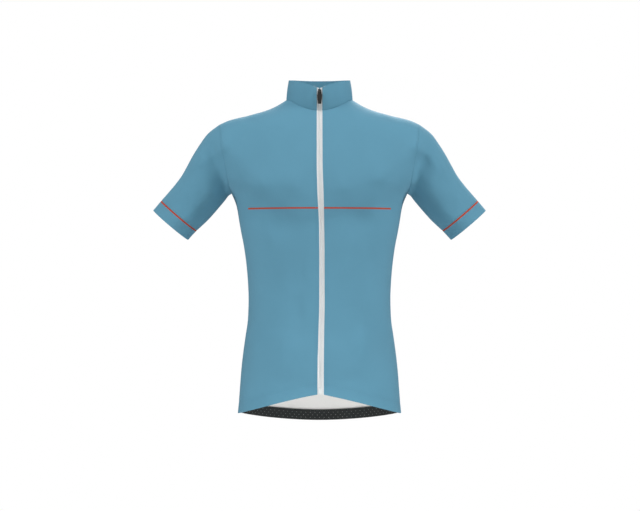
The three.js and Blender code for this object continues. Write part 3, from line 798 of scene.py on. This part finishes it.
@functools.cache
def moulded_rubber():
    """Soft PVC, injection moulded: nearly black and almost matt, with a fine spark-eroded grain."""
    look = {"grain": 0.385, "contrast": 0.12, "roughness": 0.5, "depth": 0.05}
    return grained("moulded_pvc", "metal", **look, Specular_IOR_Level=0.45)


@functools.cache
def silicone():
    """Silicone, printed in dots and cured: pale, rubbery and a little glossy."""
    look = {"grain": 0.667, "contrast": 0.08, "roughness": 0.35, "depth": 0.02}
    return grained("printed_silicone", "silicone", **look, Subsurface_Weight=0.15)


# Pieces


class JERSEY_OT_fronts(bpy.types.Operator):
    """Sew the two fronts"""

    bl_idname = "jersey.fronts"
    bl_label = "Fronts"

    def execute(self, context):
        for name, _ in HANDS:
            node = f"front_{name}"
            sheet = cloth_sheet(node)
            sheet.groove(("top", "right"))
            turn_up_hem(sheet)
            piece = cloth_piece(f"cloth_{node}", sheet, (knit("chest"), knit("inside")), node)
            rows = sewn_rows(
                sheet,
                *HEM_ROWS,
                ("left", ZIP_ROW),
                ("top", NECK_ROW, 0, NECK_COLUMNS),
                ("right", SEAM_ROW, SIDE_ROWS),
            )
            sewn = [stitches(f"stitches_{node}", rows)]
        return {"FINISHED"}


class JERSEY_OT_back(bpy.types.Operator):
    """Sew the back to the fronts"""

    bl_idname = "jersey.back"
    bl_label = "Back"

    def execute(self, context):
        sheet = cloth_sheet("back")
        sheet.groove(("top", "left", "right"))
        turn_up_hem(sheet)
        piece = cloth_piece("cloth_back", sheet, (knit("body"), knit("inside")), "back")
        rows = sewn_rows(
            sheet,
            *HEM_ROWS,
            ("top", NECK_ROW, NECK_COLUMNS, 2 * HALF_COLUMNS - NECK_COLUMNS),
            ("left", SEAM_ROW, SIDE_ROWS),
            ("right", SEAM_ROW, SIDE_ROWS),
        )
        sewn = [stitches("stitches_back", rows)]
        low = slice(0, SIDE_ROWS + 1)
        shoulder = slice(NECK_COLUMNS, None)
        for name, hand in HANDS:
            panels = (lattice(f"front_{name}"), back_half(hand))
            sides = ((panel[low, -1], panel[low, -2]) for panel in panels)
            tops = ((panel[-1, shoulder], panel[-2, shoulder]) for panel in panels)
            sewn.append(seam_band(f"side_seam_{name}", *sides))
            sewn.append(seam_band(f"shoulder_seam_{name}", *tops))
        return {"FINISHED"}


def armhole(name, hand, column):
    """The points round an armhole, up the front and down the back, in one column of both panels."""
    up, down = (panel[SIDE_ROWS:, column] for panel in (lattice(f"front_{name}"), back_half(hand)))
    return np.concatenate([up, down[-2:0:-1]])


class JERSEY_OT_sleeves(bpy.types.Operator):
    """Set in the sleeves and their cuffs"""

    bl_idname = "jersey.sleeves"
    bl_label = "Sleeves and cuffs"

    def execute(self, context):
        for name, hand in HANDS:
            node = f"sleeve_{name}"
            sheet = cloth_sheet(node, ring=True)
            sheet.groove(("bottom", "top"))
            piece = cloth_piece(f"cloth_{node}", sheet, (knit("body"), knit("inside")), node)
            sleeve = lattice(node, True)
            cuff = lattice(f"cuff_{name}", True)
            hole = [armhole(name, hand, column) for column in (-1, -2)]
            sewn = [
                stitches(f"stitches_{node}", sewn_rows(sheet, ("top", SEAM_ROW))),
                seam_band(f"armhole_seam_{name}", hole, sleeve[:2], closed=True),
                seam_band(f"cuff_seam_{name}", sleeve[:-3:-1], cuff[:2], closed=True),
            ]
            node = f"cuff_{name}"
            sheet = cloth_sheet(node, ring=True)
            sheet.groove(("bottom",))
            piece = cloth_piece(f"cloth_{node}", sheet, (knit("cuff"), knit("body")), node)
        return {"FINISHED"}


def neckline(row):
    """The points along the neck, from the right front over the back to the left front, in one row of each."""
    left, right = (lattice(f"front_{name}") for name, _ in HANDS)
    nape = lattice("back")[row, NECK_COLUMNS + 1 : -NECK_COLUMNS - 1]
    return np.concatenate([right[row, : NECK_COLUMNS + 1], nape, left[row, NECK_COLUMNS::-1]])


class JERSEY_OT_collar(bpy.types.Operator):
    """Sew on the stand collar"""

    bl_idname = "jersey.collar"
    bl_label = "Collar"

    def execute(self, context):
        wall = context.scene.jersey_cloth.collar_wall
        sheet = cloth_sheet("collar")
        sheet.groove(("bottom",))
        piece = cloth_piece("cloth_collar", sheet, (knit("body"), knit("body")), "collar", wall)
        rows = sewn_rows(sheet, ("left", ZIP_ROW), ("right", ZIP_ROW))
        neck = [neckline(row) for row in (-1, -2)]
        collar = lattice("collar")
        sewn = [stitches("stitches_collar", rows), seam_band("neck_seam", neck, collar[:2], wall=wall)]
        return {"FINISHED"}


class JERSEY_OT_pockets(bpy.types.Operator):
    """Sew the three pockets on the lower back"""

    bl_idname = "jersey.pockets"
    bl_label = "Back pockets"

    def execute(self, context):
        sheet = cloth_sheet("pocket_panel", steps=10)
        dividers = [POCKET_COLUMNS * number for number in range(1, POCKETS)]
        # each pocket stands off the back a little more towards its open top, between the rows that hold it
        bulge = 2.4 * MM * np.sin(math.pi * sheet.places["top"] / POCKET_COLUMNS) ** 2
        sheet.move(bulge * smooth_step(sheet.v / sheet.v[-1:], 0.1, 1.0))
        dip, reach = 0.8 * MM, 5 * MM
        for divider in dividers:
            middle = sheet.column_number(divider)
            away = sheet.u - sheet.u[:, middle : middle + 1]
            sheet.move(-dip * np.exp(-((away / reach) ** 2)))
        sheet.measure()
        sheet.groove(("left", "right", "bottom"), dip, reach)
        sheet.groove(("top",), depth=0.9 * MM, width=2 * MM, distance=POCKET_BAND)
        piece = cloth_piece("cloth_pockets", sheet, (knit("body"), knit("inside")), "pocket_panel")
        bm = sewn_rows(
            sheet,
            ("top", POCKET_BAND),
            ("top", POCKET_BAND - 3 * MM),
            *((side, POCKET_ROW) for side in ("left", "right", "bottom")),
        )
        for divider in dividers:
            for aside in (-DIVIDER_ROW, DIVIDER_ROW):
                sewn_thread(bm, *sheet.column(divider, aside))
            points, out = sheet.column(divider)
            bartack(bm, points[-3], out[-3], unit(points[-3] - points[-6]))
        thread = stitches("stitches_pockets", bm)
        return {"FINISHED"}


class JERSEY_OT_gripper(bpy.types.Operator):
    """Sew the elastic gripper inside the back hem"""

    bl_idname = "jersey.gripper"
    bl_label = "Hem gripper"

    def execute(self, context):
        band = 0.9 * MM
        spacing = 9 * MM
        bare_end = 4 * MM
        sheet = cloth_sheet("hem_gripper")
        finish = (elastic(), elastic())
        piece = cloth_piece("gripper_band", sheet, finish, "hem_gripper", band)
        size = context.scene.jersey_trims.dot
        shape = Matrix.Diagonal((size / 2, size / 2, size / 5, 1))
        bm = bmesh.new()
        for number, height in enumerate((5 * MM, 10 * MM, 15 * MM)):
            row, face = sheet.line("bottom", height)
            run = run_along(row)
            count = int(run[-1] / spacing)
            # the dots of the middle row stand between those of the other two
            places = (np.arange(1, count) + 0.5 * (number % 2)) * run[-1] / count
            for place in places[places < run[-1] - bare_end]:
                at, up = (Vector(at_run(place, run, values)) for values in (row, face))
                turn = up.to_track_quat("Z", "Y").to_matrix().to_4x4()
                spot = Matrix.Translation(at - up.normalized() * band) @ turn @ shape
                bmesh.ops.create_icosphere(bm, subdivisions=2, radius=1, matrix=spot)
        dots = mesh_object("gripper_dots", bm, (silicone(),))
        return {"FINISHED"}


def block_at(bm, at, along, up, size):
    """A small moulded block, with its edges rounded."""
    side = up.cross(along).normalized()
    turn = Matrix((side, along.normalized(), up)).transposed().to_4x4()
    spot = Matrix.Translation(at) @ turn @ Matrix.Diagonal((*size, 1))
    made = bmesh.ops.create_cube(bm, size=1, matrix=spot)
    edges = list({edge for vert in made["verts"] for edge in vert.link_edges})
    bmesh.ops.bevel(bm, geom=edges, offset=0.4 * MM, segments=2, affect="EDGES", profile=0.5, material=-1)


def coil_half(sheet, hand):
    """Half of the zip's coil on one tape, with its stop at the top, and the pin or the box at the bottom."""
    pitch = bpy.context.scene.jersey_trims.tooth_pitch
    edge = sheet.points[:, 0]
    across = unit(sheet.points[:, 3] - edge)
    run = run_along(edge)

    def there(place):
        return [Vector(at_run(place, run, values)) for values in (edge, sheet.out[:, 0], across)]

    bm = bmesh.new()
    reach, rise = 1.25 * MM, 0.55 * MM
    past_edge, lift = 0.45 * MM, 0.35 * MM
    bottom, top = 12 * MM, run[-1] - 7 * MM
    places = (np.arange(run[-1] / pitch) + (0.75 if hand > 0 else 0.25)) * pitch
    for place in places[(places > bottom) & (places < top)]:
        at, up, side = there(place)
        along = up.cross(side).normalized()
        turn = Matrix((side * reach, along * 0.42 * pitch, up * rise)).transposed().to_4x4()
        spot = Matrix.Translation(at + side * (reach - past_edge) + up * lift) @ turn
        bmesh.ops.create_icosphere(bm, subdivisions=1, radius=1, matrix=spot)
    at, up, side = there(run[-1] - 5 * MM)
    stop = at + side * 1.4 * MM + up * 0.5 * MM
    block_at(bm, stop, up.cross(side), up, (2.4 * MM, 3 * MM, 1.6 * MM))
    at, up, side = there(7 * MM)
    width = 1.8 * MM if hand > 0 else 3.2 * MM
    end = at + side * (width / 2 + 0.1 * MM) + up * 0.7 * MM
    block_at(bm, end, up.cross(side), up, (width, 9 * MM, 2 * MM))
    return bm


def hardware(node, material, body):
    """A hard CAD part with its edges rounded, in its own finish."""
    piece = mesh_object(f"finished_{node}", merged(node), (material,), body)
    piece.data.set_sharp_from_angle(angle=math.radians(35))
    edge = piece.modifiers.new("Edge", "BEVEL")
    edge.width = 0.18 * MM
    edge.segments = 2
    edge.limit_method = "ANGLE"
    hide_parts(node)


class JERSEY_OT_zip(bpy.types.Operator):
    """Set in the zip: tapes, coil, slider and pull"""

    bl_idname = "jersey.zip"
    bl_label = "Front zip"

    def execute(self, context):
        wall = 0.7 * MM
        for name, hand in HANDS:
            node = f"zip_tape_{name}"
            sheet = cloth_sheet(node, steps=4)
            finish = (woven_tape(), woven_tape())
            piece = cloth_piece(f"tape_{name}", sheet, finish, node, wall)
            teeth = mesh_object(f"zip_coil_{name}", coil_half(sheet, hand), (nylon_coil(),))
        hardware("zip_slider", enamelled_zinc(), "jersey")
        hardware("zip_pull", moulded_rubber(), "pull_tab")
        return {"FINISHED"}


# The stage: the floor's height and radius, the level camera's place across and up, and where the lamps
# are aimed. Each lamp has its place, the width of its disc and its share of the key light's power.
FLOOR = -1.25
FLOOR_RADIUS = 2.2
CAMERA_X = 0.95 * MM
CAMERA_Z = -294.5 * MM
LAMP_AIM = (0, 0, -0.25)
LAMPS = (
    ("lamp_left", (-3.2, -1.5, 1.3), 1.0, 1.42),
    ("lamp_right", (3.2, -1.5, 1.3), 1.0, 1.54),
    ("lamp_front", (0.2, -2.7, 3.0), 2.0, 1.32),
    ("lamp_back", (0.5, 3.0, 1.8), 1.6, 2.3),
    ("lamp_low", (0, -0.6, -1.2), 0.4, 0.075),
)


def background_paper():
    """White background paper, matt and faintly grained.

    It fades out towards its edge, so that no edge shows against the white surroundings.
    """
    paper, tree, shader = new_material("white_background_paper", Roughness=0.9, Specular_IOR_Level=0.1)
    place = add_node(tree, "ShaderNodeTexCoord").outputs["Object"]
    cloud = 25 * MM
    grain = add_node(tree, "ShaderNodeTexNoise", {"Scale": 1 / cloud}, {"Vector": place})
    ends = dict(zip(RANGE_ENDS, (0, 1, 0.7, 0.74)))
    level = add_node(tree, "ShaderNodeMapRange", ends, {"Value": grain})
    tree.links.new(level.outputs["Result"], shader.inputs["Base Color"])
    centre = (0, 0, FLOOR)
    away = add_node(tree, "ShaderNodeVectorMath", {1: centre}, {0: place}, operation="DISTANCE")
    ends = dict(zip(RANGE_ENDS, (0.5, 2.0, 1.0, 0.0)))
    source = {"Value": away.outputs["Value"]}
    fade = add_node(tree, "ShaderNodeMapRange", ends, source, interpolation_type="SMOOTHSTEP")
    tree.links.new(fade.outputs["Result"], shader.inputs["Alpha"])
    return paper


class JERSEY_OT_stage(bpy.types.Operator):
    """Set up the floor, the light and the camera"""

    bl_idname = "jersey.stage"
    bl_label = "Stage"

    def execute(self, context):
        stage = context.scene.jersey_stage
        bm = bmesh.new()
        bmesh.ops.create_circle(bm, cap_ends=True, segments=64, radius=FLOOR_RADIUS)
        bmesh.ops.translate(bm, vec=(0, 0, FLOOR), verts=bm.verts)
        plain_object("floor", bm, (background_paper(),))
        self.light_up(context.scene, stage)
        self.place_camera(context.scene, stage)
        return {"FINISHED"}

    def light_up(self, scene, stage):
        """White surroundings and five round lamps."""
        world = bpy.data.worlds.new("white_surroundings")
        scene.world = world
        world.use_nodes = True
        air = world.node_tree
        # the surroundings are seen pure white, and light the jersey more weakly than they look
        seen = add_node(air, "ShaderNodeLightPath").outputs["Is Camera Ray"]
        strength = add_node(air, "ShaderNodeMath", {0: stage.sky}, {1: seen}, operation="MAXIMUM")
        inputs = air.nodes["Background"].inputs
        inputs["Color"].default_value = (1, 1, 1, 1)
        air.links.new(strength.outputs[0], inputs["Strength"])
        for name, place, size, share in LAMPS:
            light = bpy.data.lights.new(name, "AREA")
            light.shape = "DISK"
            light.size = size
            light.energy = stage.key * share
            lamp = bpy.data.objects.new(name, light)
            lamp.location = place
            aim = Vector(LAMP_AIM) - Vector(place)
            lamp.rotation_euler = aim.to_track_quat("-Z", "Y").to_euler()
            scene.collection.objects.link(lamp)

    def place_camera(self, scene, stage):
        """A level camera in front of the jersey."""
        lens = bpy.data.cameras.new("camera")
        lens.lens = stage.lens
        lens.sensor_width = 36
        lens.sensor_fit = "HORIZONTAL"
        camera = bpy.data.objects.new("camera", lens)
        camera.location = (CAMERA_X, -stage.distance, CAMERA_Z)
        camera.rotation_euler = (math.pi / 2, 0, 0)
        scene.collection.objects.link(camera)
        scene.camera = camera
        scene.view_settings.view_transform = "Standard"


PIECES = (
    JERSEY_OT_fronts,
    JERSEY_OT_back,
    JERSEY_OT_sleeves,
    JERSEY_OT_collar,
    JERSEY_OT_pockets,
    JERSEY_OT_gripper,
    JERSEY_OT_zip,
    JERSEY_OT_stage,
)


class JERSEY_PT_sidebar(bpy.types.Panel):
    """Pieces of the jersey and their sizes"""

    bl_label = "Cycling jersey"
    bl_idname = "JERSEY_PT_sidebar"
    bl_space_type = "VIEW_3D"
    bl_region_type = "UI"
    bl_category = "Jersey"

    def draw(self, context):
        for group, settings in SETTINGS.items():
            box = self.layout.box()
            for name in settings.__annotations__:
                box.prop(getattr(context.scene, group), name)
        for piece in PIECES:
            self.layout.operator(piece.bl_idname)


CLASSES = (*SETTINGS.values(), *PIECES, JERSEY_PT_sidebar)


def register():
    """Makes the settings, the operators and the sidebar known to Blender."""
    for item in CLASSES:
        bpy.utils.register_class(item)
    for group, settings in SETTINGS.items():
        setattr(bpy.types.Scene, group, PointerProperty(type=settings))


def unregister():
    """Takes back what register made known."""
    for group in SETTINGS:
        delattr(bpy.types.Scene, group)
    for item in reversed(CLASSES):
        bpy.utils.unregister_class(item)


def main():
    """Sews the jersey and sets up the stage."""
    register()
    for piece in PIECES:
        group, name = piece.bl_idname.split(".")
        getattr(getattr(bpy.ops, group), name)()


if __name__ == "__main__":
    main()
